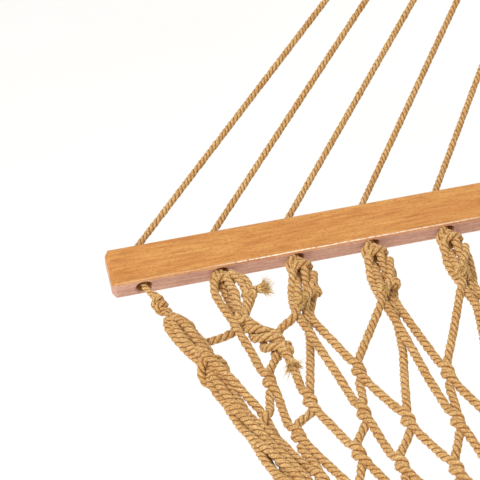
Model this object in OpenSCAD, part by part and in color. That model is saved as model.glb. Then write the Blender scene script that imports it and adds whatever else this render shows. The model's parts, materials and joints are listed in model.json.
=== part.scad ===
// Wide rope hammock with hardwood spreader bars, hung on a tubular steel stand.
// Millimetres. +X runs along the hammock towards the head end, +Y across it, +Z up.
// Origin: on the floor, at the middle of the stand.

/* [Spreader bars] */
// Length of each hardwood spreader bar, across the hammock
bar_length = 1397; // [1100:1:1500]
// Width of the bar's wide face
bar_width = 38; // [34:0.5:46]
// Thickness of the bar
bar_thickness = 19; // [18:0.5:24]
// Radius of the bar's long rounded edges
bar_edge_radius = 3; // [2:0.5:5]
// Chamfer round each end of the bar
bar_end_chamfer = 4; // [2:0.5:6]
// Number of rope holes in each bar
hole_count = 22; // [14:2:24]
// Distance from the end of the bar to the first hole's axis
hole_inset = 26.5; // [22:0.5:40]
// Diameter of the rope holes
hole_diameter = 13.5; // [12.5:0.5:14]
// Height of the bars' axes above the floor
bar_height = 660; // [600:5:750]
// Half the distance between the two bars' axes
bar_reach = 1000; // [900:10:1100]
// Tilt of the bar's wide face, up towards the ring
bar_tilt = 25; // [15:1:32]

/* [Ropes and bed] */
// Diameter of the ropes between bar and ring
fan_rope_diameter = 5.8; // [5:0.1:6.4]
// Distance from the bar's axis to the ring's centre, along the bar's wide face
ring_reach = 655; // [600:5:760]
// Height of the ring's centre above the plane of the bar's wide face
ring_rise = 115; // [60:5:140]
// Thickness of the roped bed
bed_thickness = 8; // [6:0.5:12]
// How far the middle of the bed hangs below its ends
bed_sag = 150; // [100:5:200]
// How far the side ropes hang below their ends
side_sag = 120; // [80:5:180]
// How far each side of the bed draws in towards the middle
waist = 160; // [60:2:200]
// Length over which most of that drawing in happens
waist_run = 440; // [200:10:500]
// Radius of the side rope bundle
side_bundle_radius = 12; // [8:0.5:14]

/* [Ring, snap hook and chain] */
// Radius of the ring, to the middle of its wire
ring_radius = 38; // [34:1:44]
// Diameter of the ring's wire
ring_wire = 10; // [8:1:12]
// Radius of the snap hook's bows, to the middle of the wire
hook_bow = 13; // [12:0.5:16]
// Length of the snap hook, wire middle to wire middle
hook_length = 70; // [66:1:90]
// Diameter of the snap hook's wire
hook_wire = 8; // [7:0.5:9]
// Diameter of the chain's wire
link_wire = 6; // [5:0.5:7]
// Radius of a chain link's bows, to the middle of the wire
link_bow = 12; // [11:0.5:13]
// Straight part of a chain link
link_straight = 14; // [10:1:24]

/* [Stand] */
// Outer diameter of the beam and upright tubes
tube_diameter = 50.8; // [45:0.2:56]
// Wall of every tube
tube_wall = 2; // [1.6:0.1:3]
// Angle of the uprights above the floor
upright_angle = 60; // [55:1:66]
// Bend radius of the elbows, to the middle of the tube
elbow_radius = 160; // [130:5:200]
// Length of the middle beam tube
beam_length = 1200; // [1000:10:1300]
// Diameter of the cross feet's tubes
foot_diameter = 38; // [34:1:45]
// Length of each cross foot, without its end caps
foot_length = 1150; // [1000:10:1250]
// Distance of the cross feet from the middle
foot_reach = 820; // [740:10:880]

/* [Hidden] */
$fn = 48;

gap = 0.3;              // clearance between neighbouring pieces
hole_pitch = (bar_length - 2 * hole_inset) / (hole_count - 1);
rim_depth = 1.2;        // rounded-over mouth of each rope hole
rope_r = fan_rope_diameter / 2;
plug_r = hole_diameter / 2 - 0.6;
plug_end = -7;          // how far along the hole the bed's knot reaches
bed_kink = 8;           // angle between the bar's face and the bed, where they meet
hitch_length = 48;
side_knot_length = 38;

// unit vectors in the vertical plane along the hammock
function along(a) = [cos(a), 0, sin(a)];
function upright_of(a) = [-sin(a), 0, cos(a)];

bar_centre = [bar_reach, 0, bar_height];
bar_out = along(bar_tilt);
bar_up = upright_of(bar_tilt);
ring_centre = bar_centre + ring_reach * bar_out + ring_rise * bar_up;
pull_angle = bar_tilt + atan2(ring_rise, ring_reach);
pull = along(pull_angle);
pull_up = upright_of(pull_angle);

// bed and side ropes, as curves over x
bed_start = bar_centre - (bar_width / 2) * bar_out;
bed_half = bed_start[0];
side_y = bar_length / 2 - hole_inset;
net_inset = hitch_length + 2;
function from_bar(x) = bed_half - abs(x);
function side_at(x) = side_y - waist + waist * exp(-from_bar(x) / waist_run);
function hang(x, sag) = bed_start[2] - sag * (1 - pow(x / bed_half, 2));
function bed_z(x, y) = hang(x, bed_sag) + (hang(x, side_sag) - hang(x, bed_sag)) * pow(y / side_at(x), 2);
function bundle_r(x) = side_bundle_radius * (1 - 0.45 * exp(-(from_bar(x) - side_knot_length) / 45));

// distances along the pull, counted from the ring's centre
hook_r = hook_wire / 2;
link_r = link_wire / 2;
hook_low = ring_radius - ring_wire / 2 - hook_r - gap;
hook_high = hook_low + hook_length;
link_span = link_straight + 2 * link_bow;
link_step = link_span - link_wire - gap;
link_first = hook_high - hook_r - link_r - gap;
link_count = 3;
last_link_end = link_first + (link_count - 1) * link_step + link_span;

// gate of the snap hook
gate_wire = 7;
gate_pin_s = hook_low + hook_length - hook_bow - 6;
gate_tip_s = gate_pin_s - 30;
gate_knuckle = 3.4;     // width of the gate's knuckle
ear_thickness = 2;
rivet_r = 1.5;

// eye bolt
eye_radius = 15;
eye_wire = 8;
eye_shank_r = 5;
eye_gap = 0.8;          // play of the last link in the eye
pivot_s = last_link_end - link_r - eye_gap - eye_wire / 2;
eye_s = pivot_s + eye_radius;
eye_centre = ring_centre + eye_s * pull;
tube_r = tube_diameter / 2;
eye_height = tube_r + 26;
washer_t = 2;
washer_r = 12;

// stand
foot_r = foot_diameter / 2;
pad_drop = 5;           // end caps reach this far below the cross feet's tubes
foot_z = foot_r + pad_drop;
saddle_gap = 6;
beam_z = foot_z + foot_r + saddle_gap + tube_r;
post_dir = along(upright_angle);
post_normal = upright_of(upright_angle);
post_eye = eye_centre - eye_height * post_normal;
post_foot_x = post_eye[0] - (post_eye[2] - beam_z) / tan(upright_angle);
bend_tangent = elbow_radius * tan(upright_angle / 2);
post_eye_s = (post_eye[2] - beam_z) / sin(upright_angle);
post_top_s = post_eye_s + 70;
elbow_end_s = bend_tangent + 60;
neck_length = 80;
neck_r = tube_r - tube_wall - 0.2;
neck_wall = 2;
bolt_r = 4;
bolt_hole_r = 4.25;
bolt_head_af = 13;
bolt_head_h = 5.5;
nut_h = 6.5;
eye_nut_af = 17;
eye_nut_h = 8;
cap_wall = 2.5;
steel = "#2b2b2d";
zinc = "#b9bcc0";
plastic = "#1c1c1d";
wood = "#d89a5c";
rope = "#d9ba85";

// ---------- placing ----------
module in_bar_frame() {
    translate(bar_centre) rotate([0, -bar_tilt, 0]) children();
}

module in_pull_frame() {
    translate(ring_centre) rotate([0, -pull_angle, 0]) children();
}

// local x runs up the upright, local z is its normal on the hammock's side
module in_post_frame() {
    translate([post_foot_x, 0, beam_z]) rotate([0, -upright_angle, 0]) children();
}

module foot_end() {
    mirror([1, 0, 0]) children();
}

module both_ends() {
    children();
    foot_end() children();
}

function hole_y(k) = (k - (hole_count - 1) / 2) * hole_pitch;

// ---------- small shapes ----------
module rod(a, b, r) {
    d = b - a;
    translate(a) rotate([0, acos(d[2] / norm(d)), atan2(d[1], d[0])]) cylinder(h = norm(d), r = r);
}

module hex_prism(across_flats, h) {
    cylinder(h = h, r = across_flats / 2 / cos(30), $fn = 6);
}

module tube_x(x0, x1, outer, inner) {
    translate([x0, 0, 0]) rotate([0, 90, 0]) difference() {
        cylinder(h = x1 - x0, r = outer);
        translate([0, 0, -1]) cylinder(h = x1 - x0 + 2, r = inner);
    }
}

// swaged neck: a narrower tube on the end of a tube, pointing to -x from x
module neck(x) {
    rotate([0, 90, 0]) translate([0, 0, x - neck_length]) difference() {
        union() {
            cylinder(h = neck_length + 2, r = neck_r);
            translate([0, 0, neck_length]) cylinder(h = 6, r = tube_r);
        }
        translate([0, 0, -1]) cylinder(h = neck_length + 8, r = neck_r - neck_wall);
    }
}

// closed link or hook outline in the local x-z plane, wire ends rounded by full bows
module half_bow(r, wire, start) {
    rotate([90, 0, 0]) rotate([0, 0, start]) rotate_extrude(angle = 180) translate([r, 0]) circle(r = wire);
}

module oval_link(s, r, straight, wire) {
    translate([s + r, 0, 0]) half_bow(r, wire, 90);
    translate([s + r + straight, 0, 0]) half_bow(r, wire, 270);
    for (side = [-1, 1]) {
        translate([s + r, 0, side * r]) rotate([0, 90, 0]) cylinder(h = straight, r = wire);
    }
}

// ---------- stand ----------
module base_centre_tube() {
    color(steel) difference() {
        translate([0, 0, beam_z]) tube_x(-beam_length / 2, beam_length / 2, tube_r, tube_r - tube_wall);
        for (side = [-1, 1]) {
            translate([side * (beam_length / 2 - neck_length / 2), 0, beam_z]) {
                rotate([90, 0, 0]) cylinder(h = 2 * tube_r + 2, r = bolt_hole_r, center = true);
            }
        }
    }
}

module bend_ring(outer, inner) {
    rotate_extrude(angle = upright_angle) translate([elbow_radius, 0]) difference() {
        circle(r = outer);
        circle(r = inner);
    }
}

module base_elbow() {
    bend_x = post_foot_x - bend_tangent;
    joint_x = beam_length / 2;
    overlap = 3;        // the straight stretches run this far into the bend
    swell = 0.3;        // the bend's wall is this much thicker
    color(steel) difference() {
        union() {
            translate([0, 0, beam_z]) {
                neck(joint_x);
                tube_x(joint_x + 6, bend_x + overlap, tube_r, tube_r - tube_wall);
                translate([bend_x, 0, elbow_radius]) rotate([90, 0, 0]) rotate([0, 0, -90]) {
                    bend_ring(tube_r + swell, tube_r - tube_wall - swell);
                }
            }
            in_post_frame() {
                tube_x(bend_tangent - overlap, elbow_end_s - 6, tube_r, tube_r - tube_wall);
                translate([elbow_end_s, 0, 0]) mirror([1, 0, 0]) neck(0);
            }
        }
        translate([joint_x - neck_length / 2, 0, beam_z]) {
            rotate([90, 0, 0]) cylinder(h = 2 * tube_r, r = bolt_hole_r, center = true);
        }
        in_post_frame() translate([elbow_end_s + neck_length / 2, 0, 0]) {
            rotate([90, 0, 0]) cylinder(h = 2 * tube_r, r = bolt_hole_r, center = true);
        }
        translate([foot_reach, 0, beam_z - 1.5 * tube_r]) cylinder(h = 3 * tube_r, r = bolt_hole_r);
    }
}

module upright() {
    color(steel) in_post_frame() difference() {
        tube_x(elbow_end_s + gap, post_top_s, tube_r, tube_r - tube_wall);
        translate([elbow_end_s + neck_length / 2, 0, 0]) {
            rotate([90, 0, 0]) cylinder(h = 2 * tube_r + 2, r = bolt_hole_r, center = true);
        }
        translate([post_eye_s, 0, -tube_r - 1]) cylinder(h = 2 * tube_r + 2, r = eye_shank_r + 0.25);
    }
}

module upright_cap() {
    sleeve = 28;
    color(plastic) in_post_frame() translate([post_top_s, 0, 0]) rotate([0, 90, 0]) difference() {
        union() {
            translate([0, 0, -sleeve]) cylinder(h = sleeve + cap_wall, r = tube_r + cap_wall);
            translate([0, 0, cap_wall]) cylinder(h = 3, r1 = tube_r + cap_wall, r2 = tube_r - 1);
        }
        translate([0, 0, -sleeve - 1]) cylinder(h = sleeve + 1 + 0.1, r = tube_r + 0.1);
    }
}

module cross_foot() {
    color(steel) translate([foot_reach, 0, foot_z]) difference() {
        rotate([0, 0, 90]) tube_x(-foot_length / 2, foot_length / 2, foot_r, foot_r - tube_wall);
        translate([0, 0, -foot_r - 1]) cylinder(h = 2 * foot_r + 2, r = bolt_hole_r);
    }
}

// moulded cap on each end of a cross foot, with a flat sole on the floor
module foot_end_cap() {
    sleeve = 45;
    cap_r = foot_r + cap_wall;
    sole_w = 2 * cap_r - 8;
    translate([foot_reach, foot_length / 2 - sleeve, foot_z]) difference() {
        union() {
            rotate([-90, 0, 0]) cylinder(h = sleeve + 4, r = cap_r);
            translate([-sole_w / 2, 0, -foot_z]) cube([sole_w, sleeve + 4, foot_z - foot_r / 2]);
        }
        translate([0, -1, 0]) rotate([-90, 0, 0]) cylinder(h = sleeve + 1 + 0.1, r = foot_r + 0.1);
    }
}

module foot_end_caps() {
    color(plastic) {
        foot_end_cap();
        mirror([0, 1, 0]) foot_end_cap();
    }
}

// spacer between beam and cross foot, hollowed to fit both tubes
module foot_saddle() {
    length = 70;
    width = 56;
    grip = 9;
    low = foot_z + foot_r - grip;
    high = beam_z - tube_r + grip;
    color(plastic) difference() {
        translate([foot_reach - length / 2, -width / 2, low]) cube([length, width, high - low]);
        translate([0, 0, beam_z]) rotate([0, 90, 0]) cylinder(h = 2 * foot_reach, r = tube_r + 0.1);
        translate([foot_reach, 0, foot_z]) rotate([90, 0, 0]) {
            cylinder(h = 2 * width, r = foot_r + 0.1, center = true);
        }
        translate([foot_reach, 0, low - 1]) cylinder(h = high, r = bolt_hole_r);
    }
}

// low round-headed bolt from below the cross foot up through the beam
module saddle_bolt() {
    head_h = 3;
    translate([foot_reach, 0, foot_z - foot_r - head_h]) {
        cylinder(h = head_h, r = 9);
        cylinder(h = head_h + 2 * foot_r + saddle_gap + 2 * tube_r + washer_t + 9, r = bolt_r);
    }
}

module saddle_bolts() {
    color(zinc) both_ends() saddle_bolt();
}

module saddle_nuts() {
    color(zinc) both_ends() translate([foot_reach, 0, beam_z + tube_r]) difference() {
        union() {
            cylinder(h = washer_t, r = 9);
            translate([0, 0, washer_t]) hex_prism(bolt_head_af, nut_h);
        }
        translate([0, 0, -1]) cylinder(h = 12, r = bolt_r + 0.02);
    }
}

module cross_bolt() {
    rotate([-90, 0, 0]) {
        translate([0, 0, -tube_r - bolt_head_h]) hex_prism(bolt_head_af, bolt_head_h);
        translate([0, 0, -tube_r - 1]) cylinder(h = 2 * tube_r + nut_h + 5, r = bolt_r);
    }
}

module cross_nut() {
    rotate([-90, 0, 0]) translate([0, 0, tube_r]) difference() {
        hex_prism(bolt_head_af, nut_h);
        translate([0, 0, -1]) cylinder(h = nut_h + 2, r = bolt_r + 0.02);
    }
}

module at_joints() {
    translate([beam_length / 2 - neck_length / 2, 0, beam_z]) children();
    in_post_frame() translate([elbow_end_s + neck_length / 2, 0, 0]) children();
}

module joint_bolts() {
    color(zinc) both_ends() at_joints() cross_bolt();
}

module joint_nuts() {
    color(zinc) both_ends() at_joints() cross_nut();
}

module eye_bolt() {
    collar_h = 3;
    color(zinc) in_post_frame() translate([post_eye_s, 0, 0]) {
        translate([0, 0, eye_height]) rotate([90, 0, 0]) rotate_extrude() {
            translate([eye_radius, 0]) circle(r = eye_wire / 2);
        }
        translate([0, 0, -tube_r - washer_t - eye_nut_h - 6]) {
            cylinder(h = eye_height - eye_radius + tube_r + washer_t + eye_nut_h + 6, r = eye_shank_r);
        }
        translate([0, 0, tube_r + washer_t]) cylinder(h = collar_h, r = 8);
    }
}

module eye_bolt_washers() {
    color(zinc) both_ends() in_post_frame() translate([post_eye_s, 0, 0]) {
        for (z = [tube_r, -tube_r - washer_t]) {
            translate([0, 0, z]) difference() {
                cylinder(h = washer_t, r = washer_r);
                translate([0, 0, -1]) cylinder(h = washer_t + 2, r = eye_shank_r + 0.25);
            }
        }
    }
}

module eye_bolt_nuts() {
    color(zinc) both_ends() in_post_frame() {
        translate([post_eye_s, 0, -tube_r - washer_t - eye_nut_h]) difference() {
            hex_prism(eye_nut_af, eye_nut_h);
            translate([0, 0, -1]) cylinder(h = eye_nut_h + 2, r = eye_shank_r + 0.02);
        }
    }
}

// ---------- chain, snap hook and ring ----------
// the links alternate: flat, upright, flat
module chain() {
    color(zinc) in_pull_frame() for (i = [0:link_count - 1]) {
        rotate([i % 2 == 0 ? 90 : 0, 0, 0]) {
            oval_link(link_first + i * link_step, link_bow, link_straight, link_r);
        }
    }
}

module snap_hook() {
    low = hook_low + hook_bow;
    high = hook_high - hook_bow;
    nose = gate_tip_s - 0.5;
    color(zinc) in_pull_frame() difference() {
        union() {
            translate([low, 0, 0]) half_bow(hook_bow, hook_r, 90);
            translate([high, 0, 0]) half_bow(hook_bow, hook_r, 270);
            translate([low, 0, -hook_bow]) rotate([0, 90, 0]) cylinder(h = high - low, r = hook_r);
            translate([low, 0, hook_bow]) rotate([0, 90, 0]) cylinder(h = nose - low, r = hook_r);
            for (side = [-1, 1]) {
                translate([gate_pin_s, side * (gate_knuckle / 2 + gap + ear_thickness / 2), hook_bow]) {
                    rotate([90, 0, 0]) cylinder(h = ear_thickness, r = hook_r, center = true);
                    translate([0, -ear_thickness / 2, -hook_r]) {
                        cube([high - gate_pin_s, ear_thickness, 2 * hook_r]);
                    }
                }
            }
        }
        translate([gate_pin_s, 0, hook_bow]) rotate([90, 0, 0]) {
            cylinder(h = 20, r = rivet_r + 0.02, center = true);
        }
    }
}

module snap_hook_gate() {
    color(zinc) in_pull_frame() difference() {
        union() {
            translate([gate_tip_s, 0, hook_bow]) rotate([0, 90, 0]) {
                cylinder(h = gate_pin_s - gate_tip_s - hook_r - 1, r = gate_wire / 2);
            }
            translate([gate_pin_s - hook_r - 3, -gate_knuckle / 2, hook_bow - 2.5]) {
                cube([hook_r + 3, gate_knuckle, 5]);
            }
            translate([gate_pin_s, 0, hook_bow]) rotate([90, 0, 0]) {
                cylinder(h = gate_knuckle, r = 3.4, center = true);
            }
        }
        translate([gate_pin_s, 0, hook_bow]) rotate([90, 0, 0]) {
            cylinder(h = 20, r = rivet_r + 0.08, center = true);
        }
    }
}

module snap_hook_rivets() {
    rivet_length = gate_knuckle + 2 * gap + 2 * ear_thickness;
    color(zinc) both_ends() in_pull_frame() translate([gate_pin_s, 0, hook_bow]) {
        rotate([90, 0, 0]) {
            cylinder(h = rivet_length, r = rivet_r, center = true);
            for (side = [-1, 1]) {
                translate([0, 0, side * (rivet_length / 2 + 0.5)]) cylinder(h = 1, r = 2.6, center = true);
            }
        }
    }
}

module ring() {
    color(zinc) in_pull_frame() rotate_extrude() translate([ring_radius, 0]) circle(r = ring_wire / 2);
}

// ---------- hammock ----------
module rounded_section(width, height, radius) {
    square([width - 2 * radius, height], center = true);
    square([width, height - 2 * radius], center = true);
    for (sx = [-1, 1], sy = [-1, 1]) {
        translate([sx * (width / 2 - radius), sy * (height / 2 - radius)]) circle(r = radius);
    }
}

// wedge taken off one edge of a bar's end
module end_chamfer(end, x, z) {
    wedge = bar_end_chamfer * sqrt(2);
    translate([x, end * bar_length / 2, z]) rotate(x == 0 ? [45, 0, 0] : [0, 0, 45]) {
        cube(x == 0 ? [2 * bar_width, wedge, wedge] : [wedge, wedge, 2 * bar_width], center = true);
    }
}

module spreader_bar() {
    color(wood) in_bar_frame() difference() {
        rotate([90, 0, 0]) linear_extrude(height = bar_length, center = true) {
            rounded_section(bar_width, bar_thickness, bar_edge_radius);
        }
        for (end = [-1, 1], side = [-1, 1]) {
            end_chamfer(end, side * bar_width / 2, 0);
            end_chamfer(end, 0, side * bar_thickness / 2);
        }
        for (k = [0:hole_count - 1]) {
            translate([0, hole_y(k), 0]) rotate([0, 90, 0]) {
                cylinder(h = bar_width + 2, d = hole_diameter, center = true);
                for (side = [0, 180]) {
                    rotate([side, 0, 0]) translate([0, 0, bar_width / 2 - rim_depth]) {
                        cylinder(h = 2 * rim_depth, d1 = hole_diameter, d2 = hole_diameter + 4 * rim_depth);
                    }
                }
            }
        }
    }
}

loop_count = hole_count / 2;
turn_r = rope_r + 0.5;  // a rope swells a little where it turns
loop_bend = ring_wire / 2 + turn_r + gap;
loop_step = 11.8;       // degrees of ring that each loop takes

function loop_angle(j) = (j - (loop_count - 1) / 2) * loop_step;
function loop_dir(j) = -cos(loop_angle(j)) * pull + [0, sin(loop_angle(j)), 0];
function leg_top(j, side) = ring_centre + ring_radius * loop_dir(j) + side * loop_bend * pull_up;
function hole_mouth(k) = bar_centre + (bar_width / 2 + 1.5) * bar_out + [0, hole_y(k), 0];
function hole_inner(k) = bar_centre + (plug_end + gap) * bar_out + [0, hole_y(k), 0];

// one rope, from one hole round the ring's wire and back to the next hole
module fan_loop(j) {
    for (i = [0, 1]) {
        k = 2 * j + i;
        side = i == 0 ? 1 : -1;
        rod(leg_top(j, side), hole_mouth(k), rope_r);
        rod(hole_inner(k), hole_mouth(k), rope_r);
        translate(hole_mouth(k)) rotate([0, 90 - bar_tilt, 0]) sphere(r = turn_r);
        translate(leg_top(j, side)) rotate([0, 90 - pull_angle, 0]) sphere(r = turn_r);
    }
    in_pull_frame() rotate([0, 0, 180 - loop_angle(j)]) translate([ring_radius, 0, 0]) {
        half_bow(loop_bend, rope_r, 90);
    }
}

module fan_ropes() {
    color(rope) for (j = [0:loop_count - 1]) fan_loop(j);
}

// the rope's knot under a hole: a plug in the hole and a drop-shaped hitch
module hitch(y, length, fat, spread) {
    translate([0, y, 0]) {
        translate([plug_end - bar_width / 2 + 7, 0, 0]) rotate([0, -90, 0]) {
            cylinder(h = 8.5, r = plug_r);
        }
        translate([-bar_width / 2 - 1.2, 0, 0]) rotate([0, -bed_kink, 0]) rotate([0, 0, spread]) {
            rotate([0, -90, 0]) rotate_extrude() polygon([
                [0, 0], [0.6 * fat, 0], [0.9 * fat, 0.16 * length], [fat, 0.4 * length],
                [0.85 * fat, 0.62 * length], [0.45 * fat, 0.9 * length], [0.25 * fat, length], [0, length]
            ]);
        }
    }
}

module bed_hitches() {
    color(rope) in_bar_frame() for (k = [1:hole_count - 2]) hitch(hole_y(k), hitch_length, 10.5, 0);
}

module side_knots() {
    knot_r = 8;
    turn = 18;          // the side rope leaves its hole turned in by this angle
    color(rope) in_bar_frame() {
        hitch(hole_y(hole_count - 1), side_knot_length, knot_r, turn);
        hitch(hole_y(0), side_knot_length, knot_r, -turn);
    }
}

// closed tube swept along the side of the bed, one ring of points at each station
side_stations = 40;
side_sides = 10;

module side_rope() {
    reach = bed_half - side_knot_length - 2;
    xs = [for (i = [0:side_stations]) reach * (1 - 2 * i / side_stations)];
    points = [
        for (x = xs, i = [0:side_sides - 1]) [
            x,
            side_at(x) + bundle_r(x) * cos(360 * i / side_sides),
            hang(x, side_sag) + bundle_r(x) * sin(360 * i / side_sides)
        ]
    ];
    walls = [
        for (s = [0:side_stations - 1], i = [0:side_sides - 1]) let (
            n = (i + 1) % side_sides,
            a = s * side_sides,
            b = a + side_sides
        ) [a + i, a + n, b + n, b + i]
    ];
    first = [for (i = [side_sides - 1:-1:0]) i];
    last = [for (i = [0:side_sides - 1]) side_stations * side_sides + i];
    color(rope) polyhedron(points = points, faces = concat(walls, [first, last]), convexity = 4);
}

// the roped bed as one thin sagging sheet with drawn-in sides
bed_stations = 30;
bed_strips = 6;

module bed_net() {
    reach = bed_half - net_inset;
    ring_size = 2 * (bed_strips + 1);
    xs = [for (i = [0:bed_stations]) reach * (1 - 2 * i / bed_stations)];
    across = [for (i = [0:bed_strips]) 2 * i / bed_strips - 1];
    points = [
        for (x = xs) let (half = side_at(x) - bundle_r(x) - 1) each concat(
            [for (t = across) [x, t * half, bed_z(x, t * half) + bed_thickness / 2]],
            [for (i = [bed_strips:-1:0]) [x, across[i] * half, bed_z(x, across[i] * half) - bed_thickness / 2]]
        )
    ];
    walls = [
        for (s = [0:bed_stations - 1], i = [0:ring_size - 1]) let (
            n = (i + 1) % ring_size,
            a = s * ring_size,
            b = a + ring_size
        ) [a + i, b + i, b + n, a + n]
    ];
    first = [for (i = [0:ring_size - 1]) i];
    last = [for (i = [ring_size - 1:-1:0]) bed_stations * ring_size + i];
    color(rope) polyhedron(points = points, faces = concat(walls, [first, last]), convexity = 6);
}

base_centre_tube();
base_elbow();  // base_elbow_head
foot_end() base_elbow();  // base_elbow_foot
upright();  // upright_head
foot_end() upright();  // upright_foot
upright_cap();  // upright_cap_head
foot_end() upright_cap();  // upright_cap_foot
cross_foot();  // cross_foot_head
foot_end() cross_foot();  // cross_foot_foot
foot_end_caps();  // foot_end_caps_head
foot_end() foot_end_caps();  // foot_end_caps_foot
foot_saddle();  // foot_saddle_head
foot_end() foot_saddle();  // foot_saddle_foot
saddle_bolts();
saddle_nuts();
joint_bolts();
joint_nuts();
eye_bolt();  // eye_bolt_head
foot_end() eye_bolt();  // eye_bolt_foot
eye_bolt_washers();
eye_bolt_nuts();
chain();  // chain_head
foot_end() chain();  // chain_foot
snap_hook();  // snap_hook_head
foot_end() snap_hook();  // snap_hook_foot
snap_hook_gate();  // snap_hook_gate_head
foot_end() snap_hook_gate();  // snap_hook_gate_foot
snap_hook_rivets();
ring();  // ring_head
foot_end() ring();  // ring_foot
spreader_bar();  // spreader_bar_head
foot_end() spreader_bar();  // spreader_bar_foot
fan_ropes();  // fan_ropes_head
foot_end() fan_ropes();  // fan_ropes_foot
bed_hitches();  // bed_hitches_head
foot_end() bed_hitches();  // bed_hitches_foot
side_knots();  // side_knots_head
foot_end() side_knots();  // side_knots_foot
side_rope();  // side_rope_left
mirror([0, 1, 0]) side_rope();  // side_rope_right
bed_net();
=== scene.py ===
"""Rope hammock with hardwood spreader bars on a tubular steel stand: its looks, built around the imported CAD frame.
Metres. +X runs along the hammock towards the head end, +Y across it, +Z up, with the origin on the floor."""
import json
import math

import bpy
import numpy as np
from mathutils import Matrix, Vector


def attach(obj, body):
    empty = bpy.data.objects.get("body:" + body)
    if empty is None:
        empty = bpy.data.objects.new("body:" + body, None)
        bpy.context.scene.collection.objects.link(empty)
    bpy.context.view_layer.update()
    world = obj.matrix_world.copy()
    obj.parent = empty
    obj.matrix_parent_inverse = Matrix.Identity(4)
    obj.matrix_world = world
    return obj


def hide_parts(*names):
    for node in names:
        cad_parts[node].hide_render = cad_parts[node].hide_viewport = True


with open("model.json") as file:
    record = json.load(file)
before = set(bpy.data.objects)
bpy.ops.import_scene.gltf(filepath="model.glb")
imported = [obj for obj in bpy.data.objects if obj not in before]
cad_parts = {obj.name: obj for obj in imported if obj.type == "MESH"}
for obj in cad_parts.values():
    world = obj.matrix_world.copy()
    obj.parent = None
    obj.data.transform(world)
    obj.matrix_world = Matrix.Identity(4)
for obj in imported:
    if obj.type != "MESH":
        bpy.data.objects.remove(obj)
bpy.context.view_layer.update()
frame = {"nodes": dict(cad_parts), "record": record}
TAU = 2 * math.pi


def unit(v):
    v = np.asarray(v, float)
    return v / np.linalg.norm(v, axis=-1, keepdims=True)


# ---------------------------------------------------------------- sizes, as in part.scad, in metres
BAR_LENGTH, BAR_WIDTH, BAR_THICK, BAR_EDGE = 1.397, 0.038, 0.019, 0.003
HOLES, HOLE_INSET, PITCH = 22, 0.0265, 0.064
BAR_TILT = math.radians(25)
BAR_OUT = np.array([math.cos(BAR_TILT), 0, math.sin(BAR_TILT)])
BAR_UP = np.array([-math.sin(BAR_TILT), 0, math.cos(BAR_TILT)])
BAR_CENTRE = np.array([1.0, 0, 0.660])
RING_REACH, RING_RISE = 0.655, 0.115
RING_CENTRE = BAR_CENTRE + RING_REACH * BAR_OUT + RING_RISE * BAR_UP
PULL_ANGLE = BAR_TILT + math.atan2(RING_RISE, RING_REACH)
PULL = np.array([math.cos(PULL_ANGLE), 0, math.sin(PULL_ANGLE)])
PULL_UP = np.array([-math.sin(PULL_ANGLE), 0, math.cos(PULL_ANGLE)])
RING_RADIUS, RING_WIRE = 0.038, 0.010
FAN_D = 0.0058
LOOP_BEND = RING_WIRE / 2 + FAN_D / 2 + 0.0005 + 0.0003
LOOP_STEP = math.radians(11.8)
LOOPS = HOLES // 2
BED_START = BAR_CENTRE - BAR_WIDTH / 2 * BAR_OUT
BED_HALF = BED_START[0]
SIDE_Y, WAIST, WAIST_RUN = BAR_LENGTH / 2 - HOLE_INSET, 0.160, 0.440
BED_SAG, SIDE_SAG = 0.150, 0.120
NET_D = 0.0073          # rope of the bed
LAY = 2.45              # length of one turn of a rope's strands, in diameters
FIBRE = 0.0007          # thickness of a loose yarn at a cut end


# ---------------------------------------------------------------- meshes
def add_mesh(name, verts, quads=None, tris=None, uv=None, material=None, crease=False):
    """One smooth-shaded mesh object from numpy arrays; uv is one pair for each corner of each face, in order."""
    loops, starts = [], []
    at = 0
    for faces, sides in ((quads, 4), (tris, 3)):
        if faces is not None and len(faces):
            faces = np.asarray(faces, np.int32)
            loops.append(faces.ravel())
            starts.append(at + sides * np.arange(len(faces)))
            at += faces.size
    loops, starts = np.concatenate(loops), np.concatenate(starts)
    mesh = bpy.data.meshes.new(name)
    mesh.vertices.add(len(verts))
    mesh.vertices.foreach_set("co", np.asarray(verts, np.float32).ravel())
    mesh.loops.add(len(loops))
    mesh.loops.foreach_set("vertex_index", loops.astype(np.int32))
    mesh.polygons.add(len(starts))
    mesh.polygons.foreach_set("loop_start", starts.astype(np.int32))
    if uv is not None:
        layer = mesh.uv_layers.new(name="UVMap")
        layer.data.foreach_set("uv", np.asarray(uv, np.float32).ravel())
    mesh.update(calc_edges=True)
    mesh.validate()
    mesh.shade_smooth()
    obj = bpy.data.objects.new(name, mesh)
    bpy.context.scene.collection.objects.link(obj)
    if material:
        mesh.materials.append(material)
    return obj


def resample(points, count=None, step=None):
    """Points spaced evenly along a polyline, with the length of the line."""
    points = np.asarray(points, float)
    run = np.concatenate([[0], np.cumsum(np.linalg.norm(np.diff(points, axis=0), axis=1))])
    if count is None:
        count = max(4, int(round(run[-1] / step)) + 1)
    at = np.linspace(0, run[-1], count)
    return np.stack([np.interp(at, run, points[:, i]) for i in range(points.shape[1])], 1), run[-1]


def smooth_line(points, width, step=0.0008, passes=2):
    """A polyline with its corners rounded over about that width; the ends stay where they are."""
    line, _ = resample(points, step=step)
    half = max(1, int(round(width / step / 2)))
    for _ in range(passes):
        ends = [2 * line[0] - line[half:0:-1], line, 2 * line[-1] - line[-2:-half - 2:-1]]
        padded = np.concatenate(ends)
        total = np.cumsum(np.concatenate([np.zeros((1, line.shape[1])), padded]), 0)
        line = (total[2 * half + 1:] - total[:-2 * half - 1]) / (2 * half + 1)
    return line


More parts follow.
